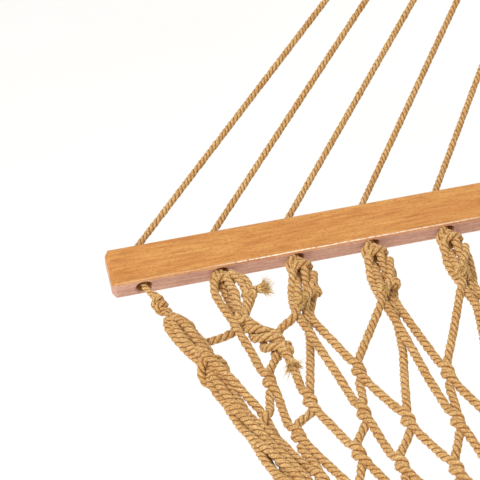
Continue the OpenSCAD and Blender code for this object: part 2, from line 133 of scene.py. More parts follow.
def frames(paths):
    """Rotation-minimising frames of many lines at once: paths is (lines, points, 3)."""
    tangent = unit(np.gradient(paths, axis=1))
    first = np.where(np.abs(tangent[:, 0, 2:3]) < 0.8, [[0, 0, 1.0]], [[1.0, 0, 0]])
    across = unit(np.cross(tangent[:, 0], first))
    out = np.empty_like(paths)
    out[:, 0] = across
    for i in range(1, paths.shape[1]):
        step = paths[:, i] - paths[:, i - 1]
        c = np.maximum((step * step).sum(1, keepdims=True), 1e-18)
        left = across - 2 / c * (step * across).sum(1, keepdims=True) * step
        t_left = tangent[:, i - 1] - 2 / c * (step * tangent[:, i - 1]).sum(1, keepdims=True) * step
        turn = tangent[:, i] - t_left
        c2 = np.maximum((turn * turn).sum(1, keepdims=True), 1e-18)
        across = left - 2 / c2 * (turn * left).sum(1, keepdims=True) * turn
        across -= (across * tangent[:, i]).sum(1, keepdims=True) * tangent[:, i]
        across = unit(across)
        out[:, i] = across
    return tangent, out, np.cross(tangent, out)


def strand_profile(sides, groove):
    """Angles and radii of a three-strand rope's outline; sides is a multiple of three."""
    per = sides // 3
    offset = np.linspace(-60, 60, per, endpoint=False)
    radius = 1 - groove * (1 - np.cos(np.radians(1.5 * offset)) ** 0.75)
    angle = np.concatenate([offset + 120 * k for k in range(3)])
    return np.radians(angle), np.tile(radius, 3)


def rope_arrays(line, across, up, run, diameter, sides, groove=0.27, phase=0.0, ends=(True, True), swell=None):
    """Vertices, quads, triangles and uv of one laid rope along a line with its frames."""
    angle, radius = strand_profile(sides, groove)
    # left-hand lay, never quite even in tightness or thickness
    spin = phase - TAU * run / (LAY * diameter) + 0.28 * np.sin(TAU * run / 0.031 + 3 * phase)
    a = angle[None] + spin[:, None]
    uneven = 1 + 0.035 * np.sin(TAU * run / 0.0190 + 5 * phase) + 0.03 * np.sin(TAU * run / 0.0113 + 9 * phase)
    r = radius[None] * uneven[:, None] * diameter / 2
    if swell is not None:
        r = r * swell[:, None]
    ring = line[:, None] + r[..., None] * (np.cos(a)[..., None] * across[:, None] + np.sin(a)[..., None] * up[:, None])
    n = len(line)
    verts = ring.reshape(-1, 3)
    i, j = np.meshgrid(np.arange(n - 1), np.arange(sides), indexing="ij")
    nxt = (j + 1) % sides
    quads = np.stack([i * sides + j, i * sides + nxt, (i + 1) * sides + nxt, (i + 1) * sides + j], -1).reshape(-1, 4)
    # u counts strands round the rope, v runs along it in centimetres
    u = np.stack([j, j + 1, j + 1, j], -1).reshape(-1, 4) / sides * 3
    v = np.stack([run[i], run[i], run[i + 1], run[i + 1]], -1).reshape(-1, 4) * 100
    uv_quads = np.stack([u, v], -1)
    tris, uv_tris = [], []
    for which, at in ((0, 0), (1, n - 1)):
        if ends[which]:
            verts = np.concatenate([verts, line[at:at + 1]])
            j = np.arange(sides)
            fan = np.stack([np.full(sides, len(verts) - 1), at * sides + (j + 1) % sides, at * sides + j], 1)
            tris.append(fan if which == 0 else fan[:, ::-1])
            uv_tris.append(np.tile([0.5, run[at] * 100], (sides, 3, 1)))
    return verts, quads, np.concatenate(tris), (uv_quads, np.concatenate(uv_tris))


def join(parts):
    """Several (verts, quads, tris, (uv of quads, uv of tris)) in one, with uv for each corner."""
    verts, quads, tris, uv_quads, uv_tris, base = [], [], [], [], [], 0
    for v, q, t, uv in parts:
        verts.append(v)
        quads.append(np.asarray(q, int).reshape(-1, 4) + base)
        tris.append(np.asarray(t, int).reshape(-1, 3) + base)
        uv_quads.append(uv[0].reshape(-1, 2))
        uv_tris.append(uv[1].reshape(-1, 2))
        base += len(v)
    return np.concatenate(verts), np.concatenate(quads), np.concatenate(tris), np.concatenate(uv_quads + uv_tris)


def rope(line, diameter, sides=15, rings=10, groove=0.27, phase=0.0, width=0.006, ends=(True, True)):
    """One rope along rough points: rounded, resampled and swept. Returns its arrays, its centreline and its length."""
    line, length = resample(smooth_line(line, width), step=LAY * diameter / rings)
    tangent, across, up = frames(line[None])
    run = np.linspace(0, length, len(line))
    return rope_arrays(line, across[0], up[0], run, diameter, sides, groove, phase, ends), line, length


def brush(origin, direction, count, length, spread, radius, seed):
    """The yarns of a cut rope end, fanning out: thin curved strips of three sides."""
    rng = np.random.default_rng(seed)
    direction = unit(direction)
    side = unit(np.cross(direction, [0.3, 0.5, 0.8]))
    other = np.cross(direction, side)
    a = rng.uniform(0, TAU, count)
    r = radius * np.sqrt(rng.uniform(0, 1, count))
    out = np.cos(a)[:, None] * side + np.sin(a)[:, None] * other
    start = origin + out * r[:, None]
    reach = length * rng.uniform(0.55, 1.1, count)
    lean = unit(direction + out * (spread * r / radius * rng.uniform(0.5, 1.3, count))[:, None]
                + 0.16 * rng.normal(size=(count, 3)))
    curl = 0.30 * rng.normal(size=(count, 3))
    steps = np.linspace(0, 1, 5)
    line = start[:, None] + steps[None, :, None] * reach[:, None, None] * (
        direction * (1 - steps[None, :, None]) + lean[:, None] * steps[None, :, None]
        + curl[:, None] * steps[None, :, None] ** 2 * 0.5)
    thick = FIBRE * rng.uniform(0.6, 1.2, count)[:, None] * (1 - 0.75 * steps)[None]
    parts = []
    for k in range(3):
        b = TAU * k / 3
        parts.append(line + thick[..., None] * (math.cos(b) * side + math.sin(b) * other))
    verts = np.stack(parts, 2).reshape(-1, 3)
    n = len(steps)
    base = np.arange(count)[:, None, None] * n * 3 + np.arange(n - 1)[None, :, None] * 3
    k = np.arange(3)[None, None]
    quads = np.stack([base + k, base + (k + 1) % 3, base + 3 + (k + 1) % 3, base + 3 + k], -1).reshape(-1, 4)
    tips = (np.arange(count) * n * 3 + (n - 1) * 3)[:, None] + np.array([[0, 1, 2]])
    roots = (np.arange(count) * n * 3)[:, None] + np.array([[0, 2, 1]])
    shade = rng.uniform(0, 40, count)
    sides, caps = (count, (n - 1) * 3, 4), (2 * count, 3)
    uv_quads = np.stack([np.full(sides, 0.5), np.broadcast_to(shade[:, None, None], sides)], -1)
    uv_tris = np.stack([np.full(caps, 0.5), np.broadcast_to(np.tile(shade, 2)[:, None], caps)], -1)
    return verts, quads, np.concatenate([tips, roots]), (uv_quads, uv_tris)


# ---------------------------------------------------------------- materials
def material(name):
    mat = bpy.data.materials.new(name)
    mat.use_nodes = True
    tree = mat.node_tree
    return mat, tree.nodes, tree.links, tree.nodes["Principled BSDF"]


def colour(r, g, b):
    """sRGB 0-255 to linear."""
    return tuple(((c / 255 + 0.055) / 1.055) ** 2.4 if c > 10 else c / 255 / 12.92 for c in (r, g, b)) + (1.0,)


def node(nodes, kind, inputs=None, **props):
    n = nodes.new(kind)
    for key, value in props.items():
        setattr(n, key, value)
    for key, value in (inputs or {}).items():
        n.inputs[key].default_value = value
    return n


def math_node(nodes, links, op, a, b=None, c=None, clamp=False):
    n = node(nodes, "ShaderNodeMath", operation=op, use_clamp=clamp)
    for i, x in enumerate((a, b, c)):
        if x is None:
            continue
        if isinstance(x, (int, float)):
            n.inputs[i].default_value = x
        else:
            links.new(x, n.inputs[i])
    return n.outputs[0]


def ramp(nodes, links, fac, stops):
    n = nodes.new("ShaderNodeValToRGB")
    n.color_ramp.elements[0].position, n.color_ramp.elements[0].color = stops[0]
    n.color_ramp.elements[1].position, n.color_ramp.elements[1].color = stops[-1]
    for pos, col in stops[1:-1]:
        n.color_ramp.elements.new(pos).color = col
    links.new(fac, n.inputs[0])
    return n.outputs[0]


def mix(nodes, links, fac, a, b, blend="MIX"):
    n = node(nodes, "ShaderNodeMix", data_type="RGBA", blend_type=blend)
    for socket, x in ((n.inputs[0], fac), (n.inputs[6], a), (n.inputs[7], b)):
        if isinstance(x, (int, float, tuple)):
            socket.default_value = x
        else:
            links.new(x, socket)
    return n.outputs[2]


def bump(nodes, links, height, strength, distance, bsdf, normal=None):
    n = node(nodes, "ShaderNodeBump", {"Strength": strength, "Distance": distance})
    links.new(height, n.inputs["Height"])
    if normal is not None:
        links.new(normal, n.inputs["Normal"])
    links.new(n.outputs[0], bsdf.inputs["Normal"])
    return n.outputs[0]


def noise(nodes, links, vector, scale, detail=3.0, rough=0.55, dims="3D"):
    n = node(nodes, "ShaderNodeTexNoise", {"Scale": scale, "Detail": detail, "Roughness": rough}, noise_dimensions=dims)
    links.new(vector, n.inputs["Vector"])
    return n.outputs["Fac"]


def rope_material(name, pale, mid, dark, yarns=5.0):
    """Spun rope: yarns along each strand, tan with paler and browner stretches, matt and slightly furry."""
    mat, nodes, links, bsdf = material(name)
    place = nodes.new("ShaderNodeTexCoord")
    stretch = node(nodes, "ShaderNodeMapping", {"Scale": (yarns, 1.3, 1.0)})
    links.new(place.outputs["UV"], stretch.inputs["Vector"])
    fibre = noise(nodes, links, stretch.outputs[0], 2.2, 4.0, 0.7)
    tone = noise(nodes, links, place.outputs["Object"], 38.0, 2.0)
    speck = noise(nodes, links, place.outputs["Object"], 900.0, 2.0, 0.6)
    base = ramp(nodes, links, fibre, [(0.30, dark), (0.47, mid), (0.66, pale)])
    shade = ramp(nodes, links, tone, [(0.3, colour(238, 222, 198)), (0.7, colour(255, 252, 244))])
    base = mix(nodes, links, 1.0, base, shade, "MULTIPLY")
    grit = ramp(nodes, links, speck, [(0.34, colour(176, 138, 96)), (0.48, colour(236, 222, 200)),
                                      (0.60, colour(255, 255, 255))])
    base = mix(nodes, links, 0.9, base, grit, "MULTIPLY")
    # painted shade: the colour is darkened along the grooves between the strands, where shade falls
    split = nodes.new("ShaderNodeSeparateXYZ")
    links.new(place.outputs["UV"], split.inputs[0])
    strand = math_node(nodes, links, "PINGPONG", split.outputs[0], 0.5)
    cleft = math_node(nodes, links, "MULTIPLY_ADD", strand, 5.0, -0.1, clamp=True)
    painted_groove_shade = ramp(nodes, links, cleft, [(0.0, colour(176, 140, 98)), (1.0, colour(255, 255, 255))])
    base = mix(nodes, links, 1.0, base, painted_groove_shade, "MULTIPLY")
    links.new(base, bsdf.inputs["Base Color"])
    rough = math_node(nodes, links, "MULTIPLY_ADD", fibre, 0.25, 0.62)
    links.new(rough, bsdf.inputs["Roughness"])
    bsdf.inputs["Sheen Weight"].default_value = 0.25
    bsdf.inputs["Sheen Roughness"].default_value = 0.5
    bsdf.inputs["Sheen Tint"].default_value = colour(250, 225, 180)
    bsdf.inputs["Specular IOR Level"].default_value = 0.25
    height = math_node(nodes, links, "MULTIPLY_ADD", speck, 0.35, fibre)
    bump(nodes, links, height, 0.55, 0.0006, bsdf)
    return mat


def wood_material():
    """Oiled beech: orange wide faces with short dark flecks along the grain, pinkish narrow faces, a pale highlight
    painted along the edges.
    """
    mat, nodes, links, bsdf = material("oiled_hardwood")

    def m(op, *args, clamp=False):
        return math_node(nodes, links, op, *args, clamp=clamp)

    def fibres(vector, *args):
        return noise(nodes, links, vector, *args)

    def stretched(vector, **inputs):
        mapping = node(nodes, "ShaderNodeMapping", inputs)
        links.new(vector, mapping.inputs["Vector"])
        return mapping.outputs[0]

    # v runs across the bar's wide face, w through its thickness, y along it; both bars mirror one another
    place = nodes.new("ShaderNodeTexCoord")
    split = nodes.new("ShaderNodeSeparateXYZ")
    links.new(place.outputs["Object"], split.inputs[0])
    x, y, z = split.outputs
    dx = m("SUBTRACT", m("ABSOLUTE", x), float(BAR_CENTRE[0]))
    dz = m("SUBTRACT", z, float(BAR_CENTRE[2]))
    v = m("ADD", m("MULTIPLY", dx, float(BAR_OUT[0])), m("MULTIPLY", dz, float(BAR_OUT[2])))
    w = m("ADD", m("MULTIPLY", dx, float(BAR_UP[0])), m("MULTIPLY", dz, float(BAR_UP[2])))
    combined = nodes.new("ShaderNodeCombineXYZ")
    for socket, value in zip(combined.inputs, (v, y, w)):
        links.new(value, socket)
    grain_at = combined.outputs[0]
    along_grain = stretched(grain_at, Scale=(1.0, 0.085, 1.0))
    fleck_at = stretched(grain_at, Scale=(1.0, 0.24, 1.0))
    grain = fibres(along_grain, 420.0, 4.0, 0.62)
    bands = fibres(along_grain, 90.0, 2.0)
    fleck = fibres(fleck_at, 1500.0, 2.0, 0.5)
    pore = fibres(fleck_at, 2600.0, 1.0, 0.5)

    top = ramp(nodes, links, grain, [(0.30, colour(182, 118, 56)), (0.5, colour(205, 145, 75)),
                                     (0.72, colour(217, 163, 93))])
    shade = ramp(nodes, links, bands, [(0.35, colour(232, 205, 180)), (0.65, colour(255, 255, 250))])
    top = mix(nodes, links, 0.55, top, shade, "MULTIPLY")
    side = ramp(nodes, links, grain, [(0.30, colour(182, 132, 110)), (0.5, colour(206, 156, 132)),
                                      (0.72, colour(222, 178, 152))])
    marks = m("MULTIPLY", m("SUBTRACT", fleck, 0.53, clamp=True), 9.0, clamp=True)
    top = mix(nodes, links, m("MULTIPLY", marks, 0.60), top, colour(166, 96, 46))
    side = mix(nodes, links, m("MULTIPLY", marks, 0.5), side, colour(152, 98, 80))

    # narrow faces, with an uneven border along the rounded edges
    out_v = m("SUBTRACT", m("ABSOLUTE", v), BAR_WIDTH / 2 - BAR_EDGE)
    out_w = m("SUBTRACT", m("ABSOLUTE", w), BAR_THICK / 2 - BAR_EDGE)
    wobble = m("MULTIPLY", m("SUBTRACT", fibres(along_grain, 700.0, 3.0), 0.5), 0.0012)
    which = m("ADD", m("SUBTRACT", out_v, out_w), wobble)
    base = mix(nodes, links, m("MULTIPLY_ADD", which, 1400.0, -0.6, clamp=True), top, side)

    # painted highlight: a near-white line along the rounded long edges, most on the upper edge on the bed's side
    near = m("SUBTRACT", 1.0, m("ABSOLUTE", m("MULTIPLY_ADD", which, 900.0, 1.15)), clamp=True)
    both_out = m("GREATER_THAN", m("MINIMUM", out_v, out_w), 0.0)
    upper = m("MULTIPLY", m("LESS_THAN", v, 0.0), m("GREATER_THAN", w, 0.0))
    bed_side = m("MULTIPLY_ADD", upper, 1.25, 0.15)
    along = stretched(grain_at, Scale=(0.0, 1.0, 0.0), Location=(0.0, 0.31, 0.0))
    patch = m("MULTIPLY_ADD", fibres(along, 7.0, 2.0), 4.0, -0.2, clamp=True)
    fine_patch = m("MULTIPLY_ADD", fibres(along, 260.0, 3.0, 0.7), 5.0, -1.7, clamp=True)
    from_middle = m("ABSOLUTE", y)
    inset = m("MULTIPLY", m("SUBTRACT", BAR_LENGTH / 2 - 0.075, from_middle), 18.0, clamp=True)
    fade = m("MULTIPLY_ADD", from_middle, 2.6, 1.30 - 2.6 * BAR_LENGTH / 2, clamp=True)
    painted_highlight = m("MULTIPLY", m("MULTIPLY", patch, fine_patch), m("MULTIPLY_ADD", inset, 0.8, 0.2))
    painted_highlight = m("MULTIPLY", painted_highlight, m("MAXIMUM", fade, 0.25))
    painted_highlight = m("MULTIPLY", m("MULTIPLY", painted_highlight, near), m("MULTIPLY", both_out, bed_side), clamp=True)
    # the painted highlight is laid over the wood in near-white
    base = mix(nodes, links, painted_highlight, base, colour(255, 240, 222))

    # end grain
    end = m("MULTIPLY_ADD", m("SUBTRACT", from_middle, BAR_LENGTH / 2 - 0.0003), 8000.0, 0.0, clamp=True)
    rings = ramp(nodes, links, fibres(grain_at, 240.0, 3.0), [(0.35, colour(186, 142, 120)),
                                                              (0.65, colour(214, 178, 156))])
    base = mix(nodes, links, end, base, rings)
    links.new(base, bsdf.inputs["Base Color"])
    links.new(m("MULTIPLY_ADD", grain, 0.25, 0.36), bsdf.inputs["Roughness"])
    bsdf.inputs["Coat Weight"].default_value = 0.12
    bsdf.inputs["Coat Roughness"].default_value = 0.35
    bsdf.inputs["Specular IOR Level"].default_value = 0.35
    bump(nodes, links, m("MULTIPLY_ADD", pore, 0.5, grain), 0.25, 0.0004, bsdf)
    return mat


def frame_steel():
    """Charcoal powder coat with a fine orange-peel skin."""
    mat, nodes, links, bsdf = material("powder_coated_steel")
    place = nodes.new("ShaderNodeTexCoord")
    peel = noise(nodes, links, place.outputs["Object"], 620.0, 3.0, 0.6)
    dust = noise(nodes, links, place.outputs["Object"], 6.0, 4.0, 0.6)
    base = ramp(nodes, links, dust, [(0.3, colour(42, 42, 44)), (0.7, colour(56, 56, 58))])
    links.new(base, bsdf.inputs["Base Color"])
    links.new(math_node(nodes, links, "MULTIPLY_ADD", peel, 0.22, 0.34), bsdf.inputs["Roughness"])
    bsdf.inputs["Metallic"].default_value = 0.0
    bsdf.inputs["Coat Weight"].default_value = 0.15
    bsdf.inputs["Coat Roughness"].default_value = 0.3
    bump(nodes, links, peel, 0.30, 0.0004, bsdf)
    return mat


def zinc():
    """Zinc plate: bright metal with faint milky patches and fine scratches."""
    mat, nodes, links, bsdf = material("zinc_plate")
    place = nodes.new("ShaderNodeTexCoord")
    patches = noise(nodes, links, place.outputs["Object"], 140.0, 3.0, 0.6)
    drawn = node(nodes, "ShaderNodeMapping", {"Scale": (1.0, 1.0, 0.15), "Rotation": (0.5, 0.4, 0.0)})
    links.new(place.outputs["Object"], drawn.inputs["Vector"])
    scratch = noise(nodes, links, drawn.outputs[0], 1800.0, 2.0, 0.6)
    base = ramp(nodes, links, patches, [(0.3, colour(168, 172, 178)), (0.7, colour(204, 207, 210))])
    links.new(base, bsdf.inputs["Base Color"])
    bsdf.inputs["Metallic"].default_value = 1.0
    links.new(math_node(nodes, links, "MULTIPLY_ADD", patches, 0.30, 0.20), bsdf.inputs["Roughness"])
    bump(nodes, links, scratch, 0.12, 0.0002, bsdf)
    return mat


def plastic():
    """Black moulded plastic with a fine spark-eroded grain."""
    mat, nodes, links, bsdf = material("black_moulded_plastic")
    place = nodes.new("ShaderNodeTexCoord")
    grain = noise(nodes, links, place.outputs["Object"], 1500.0, 2.0, 0.6)
    scuff = noise(nodes, links, place.outputs["Object"], 35.0, 4.0, 0.65)
    base = ramp(nodes, links, scuff, [(0.35, colour(26, 26, 27)), (0.75, colour(46, 46, 47))])
    links.new(base, bsdf.inputs["Base Color"])
    links.new(math_node(nodes, links, "MULTIPLY_ADD", scuff, 0.25, 0.42), bsdf.inputs["Roughness"])
    bump(nodes, links, grain, 0.35, 0.0003, bsdf)
    return mat


TAN = rope_material("spun_rope", colour(250, 222, 172), colour(222, 188, 134), colour(168, 126, 74))
# the cut yarns are paler than the rope: partly their own colour, partly painted light lifting them against the shade
# between the fibres
CUT = rope_material("cut_rope_yarns", colour(255, 246, 204), colour(252, 224, 160), colour(214, 168, 104), 1.0)
WOOD, STEEL, ZINC, PLASTIC = wood_material(), frame_steel(), zinc(), plastic()
finish_of = {"frame_steel": STEEL, "zinc": ZINC, "black_plastic": PLASTIC, "hardwood": WOOD, "rope": TAN}
for part in frame["record"]["subparts"]:
    for slot in frame["nodes"][part["node"]].material_slots:
        slot.material = finish_of[part["material_slot"]]


# ---------------------------------------------------------------- camera, first of all
def aim(obj, place, forward, right):
    """Puts a camera somewhere, looking forward, with its picture's right side towards right."""
    forward, right = unit(forward), np.asarray(right, float)
    right = unit(right - forward * right.dot(forward))
    up = np.cross(right, forward)
    turn = Matrix([[right[i], up[i], -forward[i]] for i in range(3)]).to_4x4()
    obj.matrix_world = Matrix.Translation(Vector(place)) @ turn


LENS_MM = 171.7
CAMERA_PLACE = (-0.639, 0.8285, 1.575)
CAMERA_FORWARD = (0.8678, -0.128, -0.4792)
CAMERA_RIGHT = (-0.1973, -0.976, -0.0975)
camera = bpy.data.objects.new("camera", bpy.data.cameras.new("camera"))
bpy.context.scene.collection.objects.link(camera)
camera.data.sensor_width = 36.0
camera.data.lens = LENS_MM
camera.data.clip_end = 50.0
aim(camera, CAMERA_PLACE, CAMERA_FORWARD, CAMERA_RIGHT)
bpy.context.scene.camera = camera


# ---------------------------------------------------------------- ropes between bars and rings
IN_HOLE = 0.0067        # how far past the bar's middle a fan rope's modelled end lies in its hole
OUT_OF_HOLE = 0.0015    # straight run outside the hole before a fan rope turns towards the ring
FINE_FROM = 8           # loops of the head end from this one on are near the camera


def hole_y(k):
    return (k - (HOLES - 1) / 2) * PITCH


def place_rope(obj, nodes_replaced):
    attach(obj, "hammock")
    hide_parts(*nodes_replaced)


def other_end(points):
    return np.asarray(points) * [-1, 1, 1]


def fan_line(j):
    """One rope: out of a hole, up to the ring, over its wire and back into the next hole."""
    turn = (j - (LOOPS - 1) / 2) * LOOP_STEP
    radial = math.cos(turn) * -PULL + np.array([0, math.sin(turn), 0])
    wire = RING_CENTRE + RING_RADIUS * radial
    mouth = [BAR_CENTRE + (BAR_WIDTH / 2 + OUT_OF_HOLE) * BAR_OUT + [0, hole_y(2 * j + i), 0] for i in (0, 1)]
    inner = [BAR_CENTRE - IN_HOLE * BAR_OUT + [0, hole_y(2 * j + i), 0] for i in (0, 1)]
    arc = [wire + LOOP_BEND * (math.cos(a) * radial + math.sin(a) * PULL_UP)
           for a in np.radians(np.linspace(90, 270, 13))]
    return np.array([inner[0], mouth[0], *arc, mouth[1], inner[1]])


for end in ("head", "foot"):
    for j in range(LOOPS):
        line = fan_line(j)
        if end == "foot":
            line = other_end(line)
        near = end == "head" and j >= FINE_FROM
        arrays, centre, length = rope(line, FAN_D, 15 if near else 9, 10 if near else 6, width=0.006)
        loop = add_mesh(f"fan_rope_{end}_{j + 1}", *join([arrays]), TAN)
        place_rope(loop, ["fan_ropes_" + end])


# ---------------------------------------------------------------- the bed's surface
# t runs from the head bar's near face towards the foot bar, y across, h above the surface
BED_T = 2 * BED_HALF
BULGE, BULGE_AT, BULGE_RUN = 0.0045, 0.150, 0.035   # the side swells a little past its first knots


def hang(x, sag):
    """Height of the bed's middle line (or its side, with that sag) at x."""
    return BED_START[2] - sag * (1 - (x / BED_HALF) ** 2)


def side_at(t):
    """How far the side bundle's line is from the middle of the bed."""
    t = np.minimum(t, BED_T - t)
    waist = SIDE_Y - WAIST + WAIST * np.exp(-np.maximum(t, 0) / WAIST_RUN)
    return waist + BULGE * np.exp(-((t - BULGE_AT) / BULGE_RUN) ** 2)


def bed_point(points):
    """From (t, y, h) on the bed to x, y, z."""
    t, y, h = np.asarray(points, float).T
    x = BED_HALF - t
    past = np.maximum(np.abs(x) - BED_HALF, 0)
    inside = np.clip(x, -BED_HALF, BED_HALF)
    z = hang(inside, BED_SAG) + (SIDE_SAG - BED_SAG) * -(1 - (inside / BED_HALF) ** 2) * (y / side_at(t)) ** 2
    z = z + past * math.tan(BAR_TILT)
    slope = np.where(past > 0, np.sign(x) * math.tan(BAR_TILT), 2 * SIDE_SAG * x / BED_HALF ** 2)
    lift = h / np.sqrt(1 + slope ** 2)
    return np.stack([x - slope * lift, y, z + lift], 1)


# ---------------------------------------------------------------- the net
# Rows of wrapped joints: odd rows at whole and half holes, even rows at quarters; the middle row lies at x = 0.
MIDDLE_ROW = 16
ROW_AT = np.concatenate([[0.167, 0.222], np.linspace(0.277, BED_HALF, MIDDLE_ROW - 2)])
BOW = np.array([79, 80, 85, 82, 76, 68, 60, 50, 40, 31, 23, 16, 10, 5, 2, 0]) / 1000
BOW_RUN = np.array([1.15, 1.15, 1.2, 1.35, 1.5] + [1.7] * 11)
EDGE_BOW = np.array([0.05, 0.05] + [0.03] * 14)
ROW = np.arange(1, MIDDLE_ROW + 1)
# how far the first rows are pulled outwards, by hole
FLARE_AT = [2, 2.25, 2.5, 2.75, 3.25, 3.5, 3.75, 4.25, 4.5, 5, 11.5]
FLARE = np.array([0, 5.8, 5, 12.2, 7.7, 15.4, 9, 4.5, 12.8, 8, 0]) / 1000
JOINT_LENGTH, JOINT_R = 0.025, 0.0030
TURN_LENGTH, TURN_R = 0.030, 0.0048     # of a net rope's turn round the side bundle
TURN_INSET = 0.0115
DRAWN_INSET = 0.0145    # the outermost column lies this far inside the bundle's line
FLARE_FULL, FLARE_END, FLARE_RUN = 0.07, 0.2, 0.15      # the flare grows up to the first and fades from the second
THIRD_ROW_OUT = 0.011   # the third row's joint at two and a half holes lies this much further out
FIRST_SPREAD, SPREAD_RUN = 60, 0.15     # near the bar only the outermost columns are drawn in


def row_t(kappa, row):
    """How far from the head bar a row's joint lies at a place along the bar, counted in holes."""
    near = min(row, 2 * MIDDLE_ROW - row)
    edge = min(kappa, HOLES + 1 - kappa)
    bow = np.interp(near, ROW, BOW) * math.exp(-(max(edge, 2.5) - 2.5) / np.interp(near, ROW, BOW_RUN))
    bow += np.interp(near, ROW, EDGE_BOW) * max(0.0, 2.5 - edge)
    t = np.interp(near, ROW, ROW_AT) - bow
    return t if row <= MIDDLE_ROW else BED_T - t


def column_y(kappa, t):
    """Where a column of the net lies across the bed: drawn in by the side bundles, most near the edge."""
    near = min(t, BED_T - t)
    plain = ((HOLES + 1) / 2 - kappa) * PITCH
    edge = ((HOLES + 1) / 2 - 2) * PITCH
    from_side = min(kappa, HOLES + 1 - kappa)
    grown = min(1.0, near / FLARE_FULL)
    flare = np.interp(from_side, FLARE_AT, FLARE) * grown * math.exp(-max(near - FLARE_END, 0) / FLARE_RUN)
    flare += THIRD_ROW_OUT * math.exp(-((near - 0.192) / 0.02) ** 2 - ((from_side - 2.5) / 0.1) ** 2)
    drawn = max(0.0, edge - (float(side_at(near)) - DRAWN_INSET))
    power = 1 + FIRST_SPREAD * math.exp(-near / SPREAD_RUN)
    return plain + math.copysign(1.0, plain) * (flare - drawn * (abs(plain) / edge) ** power)


def joint_line(kappa, row, side):
    """One rope's turn round its neighbour at a joint; side is 1 for the rope on the side of the higher holes."""
    t = row_t(kappa, row)
    here = np.array([t, column_y(kappa, t)])
    t1, t2 = row_t(kappa, row - 0.5), row_t(kappa, row + 0.5)
    axis = unit([t2 - t1, column_y(kappa, t2) - column_y(kappa, t1)])
    right = np.array([axis[1], -axis[0]])
    a = np.linspace(0, TAU, 15)
    flat = here + np.outer(a / TAU - 0.5, axis) * JOINT_LENGTH + side * JOINT_R * np.outer(np.cos(a), right)
    return np.column_stack([flat, -side * JOINT_R * np.sin(a)])


def bundle_turn(kappa, row):
    """A net rope's turn round the innermost rope of the side bundle."""
    t = row_t(kappa, row)
    inward = -1 if kappa < HOLES / 2 else 1
    a = np.linspace(0, TAU, 15)
    y = -inward * (float(side_at(t)) - TURN_INSET) + inward * TURN_R * np.cos(a)
    return np.column_stack([t + (a / TAU - 0.5) * TURN_LENGTH, y, TURN_R * np.sin(a)])


# where each leg leaves a hitch: distance from the bar, towards the higher holes, above the bed, in mm
HITCH_LEGS = {
    "a": [(4, 0.5, -2.5), (9, -3, -3), (17, -4.5, -3), (32, -4, 1.5), (47, -2.5, 3.5), (60, -2.5, 6), (71, -8, 5)],
    "b": [(4, -0.5, 3), (9, 2, 4), (17, 3, 4), (32, 3.2, 2), (47, 3.8, 1), (62, 3.4, -1), (80, 2.2, -3.4),
          (95, 0, -3.6), (110, -2.6, -2.5)],
    "c": [(4, 0.5, 3), (9, -4, 3.5), (17, -6.8, 3), (32, -9.6, 0.5), (47, -7.8, 0), (62, -4.0, 1), (80, -1.6, 3.2),
          (95, 1, 3.6), (110, 3.4, 2.5)],
    "d": [(4, -0.5, -2.5), (9, 4, -3), (17, 6.8, -3), (32, 9.6, -1), (47, 8.8, -2.5), (62, 6.4, -3), (76, 9.0, -2)],
}
# the edge hole's hitch is looser: one long leg on the outside, one thick leg inwards, a short one to the bundle
EDGE_LEGS = {
    "c": [(3, 0, 3), (7, -4, 4), (14, -8.5, 5), (25, -11.2, 5), (40, -8.8, 5), (57, -4.5, 5), (78, -0.5, 4.5),
          (98, 4, 2)],
    "d": [(4, 0, -2), (9, 3.5, 0), (18, 4.5, 1), (32, 4, 0), (45, 5, 0), (54, 7, 0), (66, 13, 0)],
    "a": [(10, -2, -2), (24, -1, -3.5), (42, 2, -4.5), (56, 1, -5), (64, -5, -5), (68, -14, -4), (70, -26, -4)],
}
LEG_PART = 0.064        # the legs of a hitch part this far from the bar
PULL_OUT, PULL_RATIO, PULL_RUN = 0.0115, 0.42, 0.027    # how far they are pulled outwards at the third hole
LEG_STRETCH = (-0.2, 0.2, 0.1)                          # past the parting, by hole
# joints of one leg: shift in holes and side at odd rows, then at even rows
SIGN = {"a": (-0.5, 1, -0.25, -1), "b": (0, -1, -0.25, 1), "c": (0, 1, 0.25, -1), "d": (0.5, -1, 0.25, 1)}


def leg_start(k, leg):
    """The part of a rope in its hitch; k counts holes from 1 at the +Y end."""
    mirrored = k > HOLES / 2
    y = ((HOLES + 1) / 2 - k) * PITCH
    if k in (2, HOLES - 1):
        name = {"a": "d", "b": "c", "c": "b", "d": "a"}[leg] if mirrored else leg
        table, flip = EDGE_LEGS[name], -1 if mirrored else 1
    else:
        table, flip = HITCH_LEGS[leg], 1
    p = np.array(table, float) / 1000
    if k not in (2, HOLES - 1):
        # the hitches near the sides are pulled outwards
        beyond = p[:, 0] - LEG_PART
        pull = (-1 if mirrored else 1) * PULL_OUT * PULL_RATIO ** (min(k, HOLES + 1 - k) - 3)
        p[:, 1] -= pull * np.exp(-(np.minimum(beyond, 0) / PULL_RUN) ** 2)
        p[:, 0] += np.maximum(beyond, 0) * LEG_STRETCH[k % 3]
    return np.column_stack([p[:, 0], y - flip * p[:, 1], p[:, 2]])


def turned_round(points):
    """The same line at the foot bar, run backwards."""
    out = np.array(points)[::-1].copy()
    out[:, 0] = BED_T - out[:, 0]
    return out


def net_rope(k, leg, rng):
    """One rope's whole line from the head bar's hitch to the foot bar's."""
    odd, odd_side, even, even_side = SIGN[leg]
    pieces = [leg_start(k, leg)]
    for row in range(1, 2 * MIDDLE_ROW):
        near = min(row, 2 * MIDDLE_ROW - row)
        if near == 1 and leg in "bc":
            continue
        shift, side = (odd, odd_side) if row % 2 else (even, even_side)
        kappa = k + shift
        if kappa in (2, HOLES - 1):
            pieces.append(bundle_turn(kappa, row))
        else:
            pieces.append(joint_line(kappa, row, side))
    pieces.append(turned_round(leg_start(k, leg)))
    line = [pieces[0]]
    for before, after in zip(pieces[:-1], pieces[1:]):
        middle = (before[-1] + after[0]) / 2 + rng.normal(size=3) * [0, 0.0006, 0.0005]
        line += [middle[None], after]
    return np.concatenate(line)


